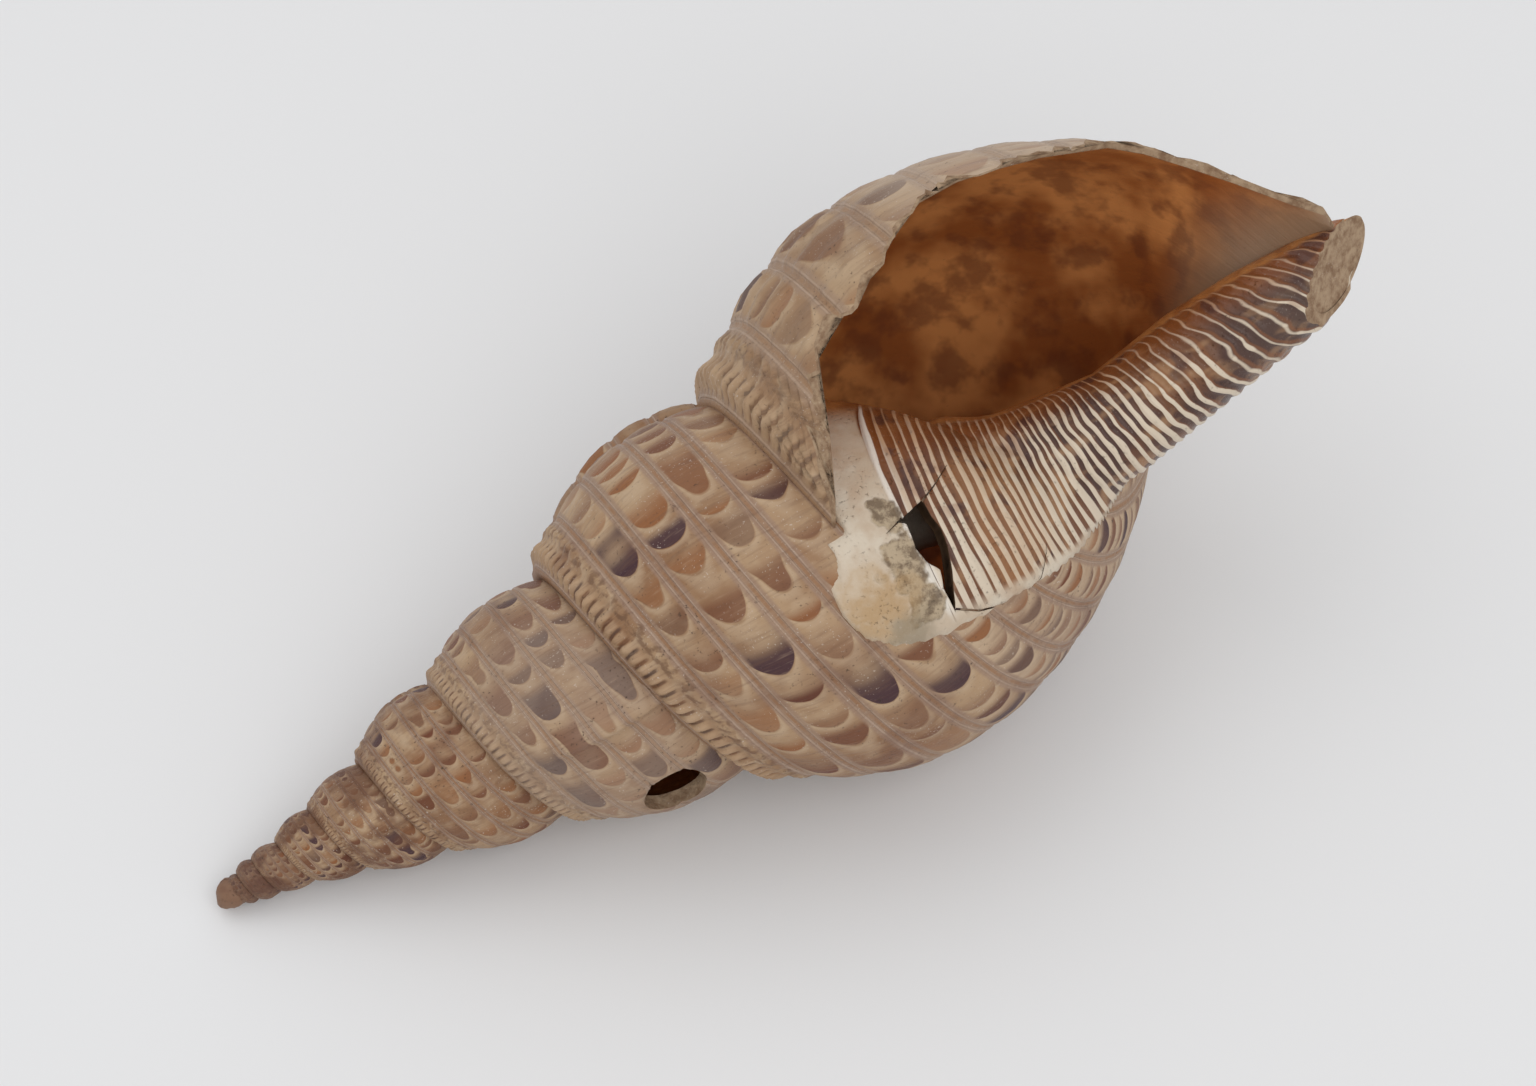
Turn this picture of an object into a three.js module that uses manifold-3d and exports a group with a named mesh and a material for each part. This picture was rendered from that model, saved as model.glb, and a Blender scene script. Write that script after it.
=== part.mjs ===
// A triton's trumpet shell: one continuous shell wall, coiled to the right round a central pillar.
//
// The shell is worked out in its own frame, with the apex at the origin and the coiling axis along +Z,
// and is laid on its side at the end. Every whorl has the outline of the one before it, grown by one
// factor, so one section that turns and grows sweeps out the whole shell. Growth is counted in turns.
// It is nought at the outermost bulge of the mouth and negative back towards the apex.
import * as THREE from 'three';
import { LoftGeometry } from 'three/addons/geometries/LoftGeometry.js';
import { mergeVertices } from 'three/addons/utils/BufferGeometryUtils.js';
import Module from 'manifold-3d';

// Driving dimensions, in millimetres and degrees, with growth in turns.
const growthPerTurn = 1.5;
const oldestTurn = -7.5; // the point is worn away before this
const oldestHollowTurn = -3; // the small whorls before this are taken as solid
const lipThickness = 2.8;
const wallThickness = 4.2; // reached half a turn back from the lip
const glazeThickness = 1.2; // inner lip laid over the whorl before
const thickestAtFullSize = 8;
const coreRadius = 2.5; // where a section stops short of the axis

// Outline of the newest whorl, from its suture to the end of the canal: [height, distance out].
const outline = smoothCurve([
  [193, 53.5], [204, 63], [223, 74.5], [246, 82], [273, 82],
  [299, 74.5], [326, 59.5], [344, 41], [356, 12],
]);
const sutureTuck = [194, 50]; // the outline starts bedded in the whorl before
const canalEnd = [358.5, coreRadius];
const outlineSteps = 11;
const tipSwell = 0.6; // the worn point is blunter than the whorls' growth would make it
const tipPlug = { height: 7.5, radius: 4.5, halfLength: 5 };
const spireLean = 2; // the spire bends a little away from the mouth
const lipSteps = 4;
const mouthTurn = 0.25; // the hollow's floor is cut this far along
const pastLip = 0.05;
const sectionMiddle = [265, 30];
const drawnIn = 0.005;

// Varices, the thick ribs left by old lips, stand two thirds of a turn apart.
const varixSpacing = 16 / 24;
const newestVarixTurn = -7 / 24;
const varixHalfWidth = 1 / 24;
const varixRise = 0.045; // share of the distance from the axis
const spireSlack = 0.07; // how much the spire's whorls fall in between varices
const spireTurn = -1.25;

// The lip is broken back unevenly: degrees of growth reached at equal shares of the outline.
const lipDegrees = [90, 56, 47, 41, 35, 31, 24, 12, 14, 48];
const lipReach = smoothCurve(lipDegrees.map((degrees, i) => [i / (lipDegrees.length - 1), degrees]));

// Inner side of the hollow: over the whorl before, then along the pillar.
const hollowFloor = [[206, 46.5], [217, 39.8], [228, 30.2], [238, 21], [250, 13.5], [263, 10],
  [294, 8], [344, 11.5]];
const hollowCorner = [197, 50.8];

// Pillar behind the inner lip: [height, lean away from the mouth, radius].
const pillarRings = [[238, 5, 12], [252, 7, 16], [268, 8.5, 16.5], [294, 9.5, 14.5], [320, 5, 14.2],
  [342, 2.5, 12.8], [356, 2.6, 10.4], [368, 2.8, 7.5], [375, 3, 3.5]];
const pillarSides = 16;

// Holes and breaks. Those in the wall are placed by [turn, share of the outline].
const blowHole = { at: [-1.576, 0.35], halfSizes: [9.5, 9.5, 9], twist: 0, sides: 20 };
const wallBreak = { at: [-0.7, 0.59], halfSizes: [3, 8.5, 9], twist: 25, sides: 8 };
const canalBreak = { at: [-4.7, 2, 364.7], halfSize: 16, around: 130, up: 23 };

// How the shell lies: on its newest varix and its worn point, with the mouth rolled up and aside.
const restTilt = 17.78; // rise of the axis from the point to the mouth
const restRoll = 60.55;
const apexPlace = [-180.6, -7.36, 3.14];

const outlineShares = [...evenShares(outlineSteps).slice(0, -1), 0.95, 1];

const wasm = await Module();
wasm.setup();

function smoothCurve(points) {
  return new THREE.SplineCurve(points.map(([x, y]) => new THREE.Vector2(x, y)));
}

function evenShares(steps, first = 0) {
  return Array.from({ length: steps + 1 }, (_, i) => THREE.MathUtils.lerp(first, 1, i / steps));
}

// A closed geometry as a solid that can be joined and cut.
function solidOf(geometry) {
  const bare = new THREE.BufferGeometry().setIndex(geometry.index);
  const merged = mergeVertices(bare.setAttribute('position', geometry.attributes.position), 1e-4);
  const mesh = { numProp: 3, vertProperties: merged.attributes.position.array };
  return new wasm.Manifold(new wasm.Mesh({ ...mesh, triVerts: new Uint32Array(merged.index.array) }));
}

function geometryOf(solid) {
  const { vertProperties, triVerts } = solid.getMesh();
  const geometry = new THREE.BufferGeometry();
  geometry.setAttribute('position', new THREE.BufferAttribute(vertProperties, 3));
  geometry.setIndex(new THREE.BufferAttribute(triVerts, 1));
  geometry.computeVertexNormals();
  return geometry;
}

// How much a whorl stands out at a turn, for its varices and the slack between them.
function swellAt(turn) {
  const fromVarix = Math.max(0, newestVarixTurn - turn) / varixSpacing;
  const away = Math.abs(newestVarixTurn - turn - Math.round(fromVarix) * varixSpacing);
  const onSpire = THREE.MathUtils.smoothstep(spireTurn - turn, 0, 0.3);
  const slack = spireSlack * onSpire * Math.sin(Math.PI * fromVarix) ** 2;
  return varixRise * Math.max(0, 1 - away / varixHalfWidth) - slack;
}

// Where a point [height, distance out] of the newest section lies at another turn of growth.
function grown([height, out], turn) {
  const angle = turn * 2 * Math.PI;
  const scale = growthPerTurn ** turn;
  const swell = 1 + tipSwell * (1 - THREE.MathUtils.smoothstep(height * scale, 4, 28));
  const lean = spireLean * (1 - THREE.MathUtils.smoothstep(height * scale, 60, 130));
  const place = new THREE.Vector3(out * swell * Math.cos(angle), out * swell * Math.sin(angle), height);
  return place.multiplyScalar(scale).sub(new THREE.Vector3(lean, 0, 0));
}

// The outline moved in by a thickness, as points [height, distance out].
function outlineInside(thickness, shares) {
  return shares.map((share) => {
    const at = outline.getPointAt(share);
    const along = outline.getTangentAt(share);
    return [at.x + along.y * thickness, at.y - along.x * thickness];
  });
}

// Turns of growth in equal steps, which reach from one turn to another.
function turnsBetween(first, last, steps) {
  return evenShares(steps).map((share) => THREE.MathUtils.lerp(first, last, share));
}

// A solid swept by a section through rings, each at one turn or with a turn for each of its points.
// sectionAt gives the full-size section at a turn. End rings are drawn in a little, so that two
// lengths which overlap by one step cross cleanly. The ring at the lip is not.
function swept(sectionAt, ringTurns, endsAtLip = false) {
  const rings = ringTurns.map((turns, k) => {
    const turnOf = (i) => (Array.isArray(turns) ? turns[i] : turns);
    const isEnd = k === 0 || (k === ringTurns.length - 1 && !endsAtLip);
    const keep = isEnd ? 1 - drawnIn : 1;
    const ring = sectionAt(turnOf(0)).map((point, i) => {
      const kept = point.map((size, axis) => THREE.MathUtils.lerp(sectionMiddle[axis], size, keep));
      return grown(kept, turnOf(i));
    });
    return ring.reverse();
  });
  return solidOf(new LoftGeometry(rings, { capStart: true, capEnd: true }));
}

// Lengths of half a turn, so that none of them meets itself, each begun one step early.
function sweptHalfTurns(sectionAt, first, last, stepsAt) {
  const lengths = [];
  for (let turn = first; turn < last; turn += 0.5) {
    const steps = stepsAt(turn);
    lengths.push(swept(sectionAt, turnsBetween(turn - 0.5 / steps, turn + 0.5, steps + 1)));
  }
  return lengths;
}

// The turn of growth that the broken lip reaches at each point of the outline.
function lipTurns() {
  return outlineShares.map((share) => lipReach.getPoint(share).y / 360);
}

// All the whorls as if they were filled, with a closed core along the axis.
function filledWhorls() {
  const shares = outlineShares;
  const section = [[sutureTuck[0], coreRadius], sutureTuck, ...outlineInside(0, shares), canalEnd];
  const rise = (i) => Math.sin(Math.PI * THREE.MathUtils.clamp((i - 1) / section.length, 0, 1));
  const sectionAt = (turn) => {
    const swell = swellAt(turn);
    return section.map(([height, out], i) => [height, out * (1 + rise(i) * swell)]);
  };
  const reached = lipTurns();
  const lastTurns = [reached[0], reached[0], ...reached, reached.at(-1)];
  const toLip = evenShares(lipSteps).map((share) => lastTurns.map((last) => last * share));
  const core = new THREE.CylinderGeometry(1.6 * coreRadius, 1, canalEnd[0] - tipPlug.height, 8);
  core.rotateX(Math.PI / 2).translate(-spireLean / 2, 0, (canalEnd[0] + tipPlug.height) / 2);
  const plug = new THREE.SphereGeometry(tipPlug.radius, 10, 8);
  plug.scale(1, 1, tipPlug.halfLength / tipPlug.radius).translate(-spireLean, 0, tipPlug.height);
  return wasm.Manifold.union([
    ...sweptHalfTurns(sectionAt, oldestTurn, 0, (turn) => (turn < -3.9 ? 5 : 12)),
    swept(sectionAt, [-0.5 / 12, ...toLip], true),
    solidOf(core),
    solidOf(plug),
  ]);
}

// The hollow that the animal lived in. It runs on past the lip, into the open.
function hollow() {
  const sectionAt = (turn) => {
    const grownBack = THREE.MathUtils.clamp((0.1 - turn) / 0.6, 0, 1);
    const real = THREE.MathUtils.lerp(lipThickness, wallThickness, grownBack);
    const thickness = Math.min(real / growthPerTurn ** turn, thickestAtFullSize);
    const floor = hollowFloor.map(([height, out]) => [height, out + glazeThickness]);
    const crease = THREE.MathUtils.clamp((thickness - 4) / 12, 0, 1);
    const sharpCorner = [hollowCorner[0], hollowCorner[1] + glazeThickness];
    const corner = sharpCorner.map((size, axis) => THREE.MathUtils.lerp(size, floor[0][axis], crease));
    return [corner, ...outlineInside(thickness, outlineShares.slice(1)), ...floor.reverse()];
  };
  const lastTurns = [mouthTurn, ...lipTurns().slice(1), ...hollowFloor.map(() => mouthTurn)];
  const toLip = evenShares(lipSteps).map((share) => lastTurns.map((last) => last * share));
  const beyond = lastTurns.map((last) => last + pastLip);
  return wasm.Manifold.union([
    ...sweptHalfTurns(sectionAt, oldestHollowTurn, 0, (turn) => (turn < -1 ? 6 : 12)),
    swept(sectionAt, [-0.5 / 12, ...toLip, beyond], true),
  ]);
}

function pillar() {
  const rings = pillarRings.map(([height, lean, radius]) => {
    const ring = [];
    for (let i = 0; i < pillarSides; i += 1) {
      const angle = i / pillarSides * 2 * Math.PI;
      ring.push(new THREE.Vector3(radius * Math.cos(angle) - lean, radius * Math.sin(angle), height));
    }
    return ring;
  });
  return solidOf(new LoftGeometry(rings, { capStart: true, capEnd: true }));
}

// A plug to cut a hole through the wall, with its third size across the wall.
function wallCutter({ at: [turn, share], halfSizes, twist, sides }) {
  const pointAt = (t, s) => grown(outlineInside(0, [s])[0], t);
  const place = pointAt(turn, share);
  const along = pointAt(turn, share + 0.01).sub(place).normalize();
  const outward = pointAt(turn + 0.01, share).sub(place).cross(along).normalize();
  const across = new THREE.Vector3().crossVectors(along, outward);
  const plug = new THREE.CylinderGeometry(1, 1, 2, sides).rotateX(Math.PI / 2).scale(...halfSizes);
  plug.rotateZ(THREE.MathUtils.degToRad(twist));
  plug.applyMatrix4(new THREE.Matrix4().makeBasis(across, along, outward));
  return solidOf(plug.translate(...place));
}

// A block to cut the broken flat across the end of the pillar. It faces around the axis and up along it.
function canalCutter() {
  const { at, halfSize, around, up } = canalBreak;
  const size = 2 * halfSize;
  const block = new THREE.BoxGeometry(size, size, size).translate(0, 0, halfSize);
  block.rotateY(THREE.MathUtils.degToRad(90 - up)).rotateZ(THREE.MathUtils.degToRad(around));
  return solidOf(block.translate(...at));
}

function wholeShell() {
  const cutters = [wallCutter(blowHole), wallCutter(wallBreak), canalCutter()];
  const joined = filledWhorls().subtract(hollow()).add(pillar()).subtract(wasm.Manifold.union(cutters));
  // The outer skin alone is kept, which fills a few sealed slits along the axis.
  const skins = joined.decompose();
  return skins.reduce((largest, skin) => (skin.volume() > largest.volume() ? skin : largest));
}

const shellStuff = new THREE.MeshStandardMaterial({ color: 0xa58a6e, roughness: 0.6, metalness: 0 });
const shell = new THREE.Mesh(geometryOf(wholeShell()), shellStuff);
shell.name = 'shell';
shell.rotation.z = THREE.MathUtils.degToRad(180 - restRoll);

const part = new THREE.Group();
const laid = new THREE.Group();
laid.rotation.y = THREE.MathUtils.degToRad(90 - restTilt);
laid.position.set(...apexPlace);
laid.add(shell);
part.add(laid);
export default part;
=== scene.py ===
import math

import bmesh
import bpy
import numpy as np
from mathutils import Matrix, Vector, noise


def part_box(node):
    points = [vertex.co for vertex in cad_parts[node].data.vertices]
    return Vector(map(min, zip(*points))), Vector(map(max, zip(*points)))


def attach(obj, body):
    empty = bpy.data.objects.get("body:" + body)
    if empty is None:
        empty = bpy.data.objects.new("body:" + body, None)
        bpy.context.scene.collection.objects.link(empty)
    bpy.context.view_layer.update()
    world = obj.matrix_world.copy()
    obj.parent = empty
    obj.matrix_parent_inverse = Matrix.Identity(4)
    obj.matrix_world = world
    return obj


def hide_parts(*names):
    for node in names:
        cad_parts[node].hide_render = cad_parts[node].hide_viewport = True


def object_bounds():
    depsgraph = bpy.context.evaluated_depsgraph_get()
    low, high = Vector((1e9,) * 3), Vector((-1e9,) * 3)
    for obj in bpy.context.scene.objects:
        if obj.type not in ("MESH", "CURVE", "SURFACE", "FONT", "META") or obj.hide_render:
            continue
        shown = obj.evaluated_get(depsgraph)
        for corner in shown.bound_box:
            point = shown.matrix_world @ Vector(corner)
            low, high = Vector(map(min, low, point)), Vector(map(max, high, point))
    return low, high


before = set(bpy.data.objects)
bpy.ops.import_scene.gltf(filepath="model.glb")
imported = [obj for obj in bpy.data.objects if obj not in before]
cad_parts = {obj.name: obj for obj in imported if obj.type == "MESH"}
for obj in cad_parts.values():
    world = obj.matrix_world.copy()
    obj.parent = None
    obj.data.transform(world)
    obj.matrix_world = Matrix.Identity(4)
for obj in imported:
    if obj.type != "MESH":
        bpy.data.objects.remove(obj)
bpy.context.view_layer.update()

# Shell wall: the one wall of shell that the animal laid down, coiled to the right from the worn
# point to the broken lip. It is aragonite, with flat spiral cords, riblets between them, beads
# under each suture and thick ribs where growth paused. Lengths are in millimetres, growth in turns.
growth_per_turn = 1.5  # each whorl is this many times the whorl before
outline_knots = np.array([
    (193, 53.5), (204, 63), (223, 74.5), (246, 82), (273, 82),
    (299, 74.5), (326, 59.5), (344, 41), (356, 12)])  # newest whorl: height, distance out
lip_degrees = np.array([86, 59, 47, 41, 35, 31, 24, 14, 21, 60])  # from the suture to the canal
lip_thickness, wall_thickness, old_thickness = 2.2, 4.4, 8
axis_rise = 17.78  # degrees, from the point to the mouth
mouth_roll = 60.55  # degrees, that the mouth is turned about the axis
apex_lean, point_swell = 2, 0.6  # how far the oldest whorls lean over, and how much fatter they are
apex_in_box = (-2.61, 65.46, 3.14)
box_low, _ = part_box("shell")
apex = np.array(box_low) + np.array(apex_in_box) / 1000


def smooth_step(value, low, high):
    """A soft step from 0 to 1 between two limits."""
    share = np.clip((value - low) / (high - low), 0, 1)
    return share * share * (3 - 2 * share)


def smooth_curve(knots, places):
    """Points at places along a curve through the knots, where knot 0 is place 0 and so on."""
    first = np.clip(np.floor(places).astype(int), 0, len(knots) - 2)
    share = (places - first).reshape(-1, *[1] * (knots.ndim - 1))
    before, start = knots[np.maximum(first - 1, 0)], knots[first]
    end, after = knots[first + 1], knots[np.minimum(first + 2, len(knots) - 1)]
    leave, arrive = (end - before) / 2, (after - start) / 2
    bend = 3 * (end - start) - 2 * leave - arrive
    return start + share * (leave + share * (bend + share * (2 * (start - end) + leave + arrive)))


outline = smooth_curve(outline_knots, np.linspace(0, len(outline_knots) - 1, 801))
outline_run = np.append(0, np.cumsum(np.linalg.norm(np.diff(outline, axis=0), axis=1)))
outline_share = outline_run / outline_run[-1]
outline_along = np.gradient(outline, outline_run, axis=0)


def section_point(share, inward):
    """Height and distance out of a point at a share of the outline, moved in from it."""
    height, out, along_height, along_out = (
        np.interp(share, outline_share, values)
        for values in (outline[:, 0], outline[:, 1], outline_along[:, 0], outline_along[:, 1]))
    return height + along_out * inward, out - along_height * inward


def laid(x, y, z):
    """Points of the standing shell, apex at the origin, as it lies in the part's frame, in metres."""
    roll, rise = math.radians(180 - mouth_roll), math.radians(90 - axis_rise)
    turned_x = x * math.cos(roll) - y * math.sin(roll)
    turned_y = x * math.sin(roll) + y * math.cos(roll)
    lying = np.stack([turned_x * math.cos(rise) + z * math.sin(rise), turned_y,
                      z * math.cos(rise) - turned_x * math.sin(rise)], axis=-1)
    return lying / 1000 + apex


def coiled(turn, height, out):
    """Where a point of the newest section lies at another turn of growth."""
    scale = growth_per_turn ** turn
    swell = 1 + point_swell * (1 - smooth_step(height * scale, 4, 28))
    lean = apex_lean * (1 - smooth_step(height * scale, 60, 130))
    angle = turn * 2 * math.pi
    return laid(scale * out * swell * np.cos(angle) - lean,
                scale * out * swell * np.sin(angle), scale * height)


varix_spacing, newest_varix, rim_behind = 16 / 24, -7 / 24, 0.072  # the thick ribs, in turns
cord_grooves = np.array([0.115, 0.21, 0.325, 0.42, 0.527, 0.61, 0.695, 0.78, 0.865])
row_count = len(cord_grooves) + 1
groove_width, riblet_aside, riblet_width = 0.016, 0.0095, 0.0045  # shares of the outline
cord_height, groove_depth, lip_bead_height = 0.55, 1.1, 1.6
bead_count, bead_slant = 78, 30  # beads to a turn, and their lean along the outline
crescent_count, crowded_extra = 28, 26  # to a turn, and how many more in the lower rows
suture_tuck = (192.5, 46)  # the first edge, under the skin of the whorl before
canal_floor = (358.5, 2.5)


def whorl_swell(turn, share):
    """How much a whorl stands out, as a share of its distance from the axis."""
    since = np.maximum(0, newest_varix - turn) / varix_spacing
    behind = (since - np.round(since)) * varix_spacing - rim_behind  # in turns, before the nearest rim
    rib_width = np.where(behind > 0, 0.026, 0.006)
    rib = (0.050 + 0.045 * smooth_step(-turn, 0.5, 0.8)) * np.exp(-np.square(behind / rib_width))
    gap = 0.030 * np.exp(-np.square((behind + 0.028) / 0.020))
    slack = 0.07 * smooth_step(-1.25 - turn, 0, 0.3) * np.square(np.sin(math.pi * since))
    here = np.where(turn < newest_varix + 0.04, 1, 0)
    return np.sin(math.pi * np.clip(0.04 + share * 0.9, 0, 1)) * (here * (rib - gap) - slack)


def cord_relief(turn, share):
    """Height of the cords and beads over the plain whorl, in millimetres at full size."""
    groove = np.zeros_like(share)
    for place in cord_grooves:
        groove += np.exp(-np.square((share - place) / groove_width))
        groove -= 0.50 * np.exp(-np.square((np.abs(share - place) - riblet_aside) / riblet_width))
    phase = 2 * math.pi * bead_count * turn
    beads = 1 - (0.5 - 0.5 * np.cos(phase + bead_slant * share + 2 * np.sin(5 * turn))) ** 2
    beads_two = 1 - (0.5 - 0.5 * np.cos(phase - 25 * share + 1.3)) ** 2
    sutural = np.exp(-np.square((share - 0.040) / 0.019)) * (1.0 + 3.0 * beads)
    second = np.exp(-np.square((share - 0.088) / 0.013)) * (0.5 + 1.3 * beads_two)
    from_groove = np.min(np.abs(share[:, None] - cord_grooves[None, :]), axis=1)
    cord = np.sqrt(np.clip(from_groove / 0.047, 0, 1)) * smooth_step(share, 0.10, 0.13)
    # Near the lip the first cords are beaded too.
    beaded = smooth_step(turn, -0.13, -0.02) * smooth_step(share, 0.10, 0.12)
    beaded = beaded * smooth_step(share, 0.40, 0.30)
    lip_beads = beaded * (0.5 - 0.5 * np.cos(phase * 0.62 + 22 * share)) * cord
    return (sutural + second + cord_height * cord + lip_bead_height * lip_beads
            - groove_depth * groove * (1 - 0.45 * smooth_step(share, 0.6, 1)))


def ring_turns():
    """Turns of growth of the rings, closest together in the newest whorls."""
    stretches = ((-9, -7.5, 12), (-7.5, -6, 20), (-6, -5, 22), (-5, -4, 34), (-4, -3, 60),
                 (-3, -2, 130), (-2, -1, 262), (-1, 0, 335))
    parts = [np.linspace(first, last, steps + 1)[:-1] for first, last, steps in stretches]
    return np.concatenate(parts + [np.array([0.0])])


def lip_turn(share):
    """The turn of growth that the broken lip reaches."""
    smooth = smooth_curve(lip_degrees[:, None] / 360, share * (len(lip_degrees) - 1))[:, 0]
    bites = np.array([
        noise.noise(Vector((s * 23, 0.3, 0))) + 0.6 * noise.noise(Vector((s * 61, 4, 0)))
        + 0.35 * noise.noise(Vector((s * 150, 9, 0))) for s in share])
    return smooth + 0.022 * bites * smooth_step(share, 0.02, 0.1) * (1 + smooth_step(share, 0.7, 1))


def face_outward(piece_bm):
    """Turns the faces of each closed part of a piece outward."""
    bmesh.ops.recalc_face_normals(piece_bm, faces=piece_bm.faces)
    unseen = set(piece_bm.faces)
    while unseen:
        part, waiting = [], [unseen.pop()]
        while waiting:
            face = waiting.pop()
            part.append(face)
            beside = {other for edge in face.edges for other in edge.link_faces} & unseen
            unseen -= beside
            waiting.extend(beside)
        volume = 0
        for face in part:
            first, *rest = (v.co for v in face.verts)
            for second, third in zip(rest, rest[1:]):
                volume += first.dot(second.cross(third))
        if volume < 0:
            bmesh.ops.reverse_faces(piece_bm, faces=part)


rings = ring_turns()
lip_steps = 80  # rings past turn 0, up to the broken lip
groove_offsets = np.array([-0.026, -0.015, -0.0095, -0.0045, 0, 0.0045, 0.0095, 0.015, 0.026])
outer_shares = np.unique(np.concatenate([
    np.linspace(0, 0.085, 11), (cord_grooves[:, None] + groove_offsets).ravel(),
    (cord_grooves[1:] + cord_grooves[:-1]) / 2, np.linspace(0.91, 1, 5)]))
inner_shares = np.linspace(1, 0.03, 17)
outer_count, inner_count = len(outer_shares) + 2, len(inner_shares) + 2
column_shares = np.concatenate([[0], outer_shares, [1, 1], inner_shares, [0]])
column_inner = np.concatenate([np.zeros(outer_count), np.ones(inner_count - 1), [0]])
ring_count, column_count = len(rings) + lip_steps, len(column_shares)
last_column = column_count - 1

# A grid is laid round the spiral: one way along the growth, the other over the outline and back
# inside it, so that the first and the last column close in the suture.
wall_bm = bmesh.new()
growth_layer = wall_bm.loops.layers.uv.new("growth")
bmesh.ops.create_grid(wall_bm, x_segments=ring_count - 1, y_segments=last_column, size=1)
ring_at = np.array([round((v.co.x + 1) / 2 * (ring_count - 1)) for v in wall_bm.verts])
column_at = np.array([round((v.co.y + 1) / 2 * last_column) for v in wall_bm.verts])
share = column_shares[column_at]
inner = column_inner[column_at]
# Past turn 0 the rings close up toward the edge of the broken lip.
past = np.clip((ring_at - len(rings) + 1) / lip_steps, 0, 1)
past = 1 - (1 - past) ** 1.3
turn = np.where(past > 0, past * lip_turn(share), rings[np.minimum(ring_at, len(rings) - 1)])
# Each whorl stops under the next one, apart from the newest, which goes down to the canal.
cover = 0.60 + 0.40 * smooth_step(turn, -1.3, -1.0)
share = np.minimum(share, cover)
# The wall has its thickness inward, and its cords and beads outward.
scale = growth_per_turn ** turn
thickness = lip_thickness + (wall_thickness - lip_thickness) * smooth_step(0.10 - turn, 0, 0.6)
thickness = np.minimum(thickness / scale, old_thickness) * (1 - 0.70 * smooth_step(past, 0.965, 1.0))
relief = cord_relief(turn, share) * (1 - 0.6 * smooth_step(past, 0.93, 1.0))
inward = np.where(inner > 0, thickness, -relief * (0.35 + 0.45 * smooth_step(turn, -4.5, -2.5)))
height, out = section_point(share, inward)
out = out * (1 + whorl_swell(turn, share))
# The first edge is tucked under the whorl before, and the last one lines the canal's floor.
at_suture = (column_at == 0) | (column_at == last_column)
at_canal = (column_at == outer_count - 1) & (cover > 0.999)
under_canal = (column_at == outer_count) & (cover > 0.999)
height = np.where(at_suture, suture_tuck[0], np.where(at_canal | under_canal, canal_floor[0], height))
out = np.where(at_suture, suture_tuck[1], np.where(at_canal | under_canal, canal_floor[1], out))
height = np.where(under_canal, height - thickness, height)
unevenness = np.array([noise.noise(Vector((t * 30, s * 14, 0.5))) for t, s in zip(turn, share)])
out = out + 0.35 * unevenness * np.where(inner > 0, 0, 1)
for vert, place in zip(wall_bm.verts, coiled(turn, height, out)):
    vert.co = place

outer_finish, inner_finish, broken_finish = 0, 1, 2  # numbers of the finishes in the mesh
for face in wall_bm.faces:
    face.smooth = True
    columns = [column_at[v.index] for v in face.verts]
    inside_face = min(columns) >= outer_count - 1
    crust = 8 if inside_face else 5  # rings of bare broken shell at the lip
    face.material_index = inner_finish if inside_face else outer_finish
    if min(ring_at[v.index] for v in face.verts) >= ring_count - crust:
        face.material_index = broken_finish
    for loop in face.loops:
        index = loop.vert.index
        loop[growth_layer].uv = (turn[index], share[index])

# The lip's outer and inner edges are joined all along by a narrow broken face.
lip_edges = [e for e in wall_bm.edges if all(ring_at[v.index] == ring_count - 1 for v in e.verts)]
outer_edge = [e for e in lip_edges if max(column_at[v.index] for v in e.verts) < outer_count]
inner_edge = [e for e in lip_edges if min(column_at[v.index] for v in e.verts) >= outer_count]
for face in bmesh.ops.bridge_loops(wall_bm, edges=outer_edge + inner_edge)["faces"]:
    face.material_index = broken_finish
    for loop in face.loops:
        loop[growth_layer].uv = (turn[loop.vert.index], share[loop.vert.index])
bmesh.ops.remove_doubles(wall_bm, verts=wall_bm.verts, dist=1e-6)
bmesh.ops.holes_fill(wall_bm, edges=[e for e in wall_bm.edges if e.is_boundary], sides=0)

# The worn point is a small blunt lump over the oldest whorls, with their finish.
point_growth = (-6.8, 0.3)  # turn, share of the outline
point_place = Matrix.Translation(Vector(laid(np.array(-2.0), np.array(0.0), np.array(7.5))))
point_turn = Matrix.Rotation(math.radians(90 - axis_rise), 4, "Y")
point_size = Matrix.Diagonal((0.0046, 0.0046, 0.0052, 1))
point = bmesh.ops.create_icosphere(wall_bm, subdivisions=3, radius=1,
                                   matrix=point_place @ point_turn @ point_size)
for vert in point["verts"]:
    way_out = (vert.co - point_place.translation).normalized()
    vert.co += 0.0011 * noise.noise(vert.co * 300) * way_out
    for loop in vert.link_loops:
        loop[growth_layer].uv = point_growth
        loop.face.smooth = True

face_outward(wall_bm)
wall_mesh = bpy.data.meshes.new("shell_wall")
wall_bm.to_mesh(wall_mesh)
wall_bm.free()
shell_wall = bpy.data.objects.new("shell_wall", wall_mesh)
bpy.context.scene.collection.objects.link(shell_wall)


# Shader steps, each a node that is put in a tree and wired up by its inputs' names.
def put(tree, kind, inputs=None, **settings):
    """A node with its settings, and its inputs as numbers, colours or links."""
    step = tree.nodes.new(kind)
    for name, value in settings.items():
        setattr(step, name, value)
    for name, value in (inputs or {}).items():
        if isinstance(value, bpy.types.NodeSocket):
            tree.links.new(value, step.inputs[name])
        else:
            step.inputs[name].default_value = value
    return step


def calc(tree, operation, *values):
    """One sum on numbers or outputs."""
    return put(tree, "ShaderNodeMath", dict(enumerate(values)), operation=operation).outputs[0]


def product(tree, first, *others):
    """Masks, heights or numbers multiplied together."""
    for other in others:
        first = calc(tree, "MULTIPLY", first, other)
    return first


def opposite(tree, mask):
    """What a mask leaves out."""
    return calc(tree, "SUBTRACT", 1.0, mask)


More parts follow.
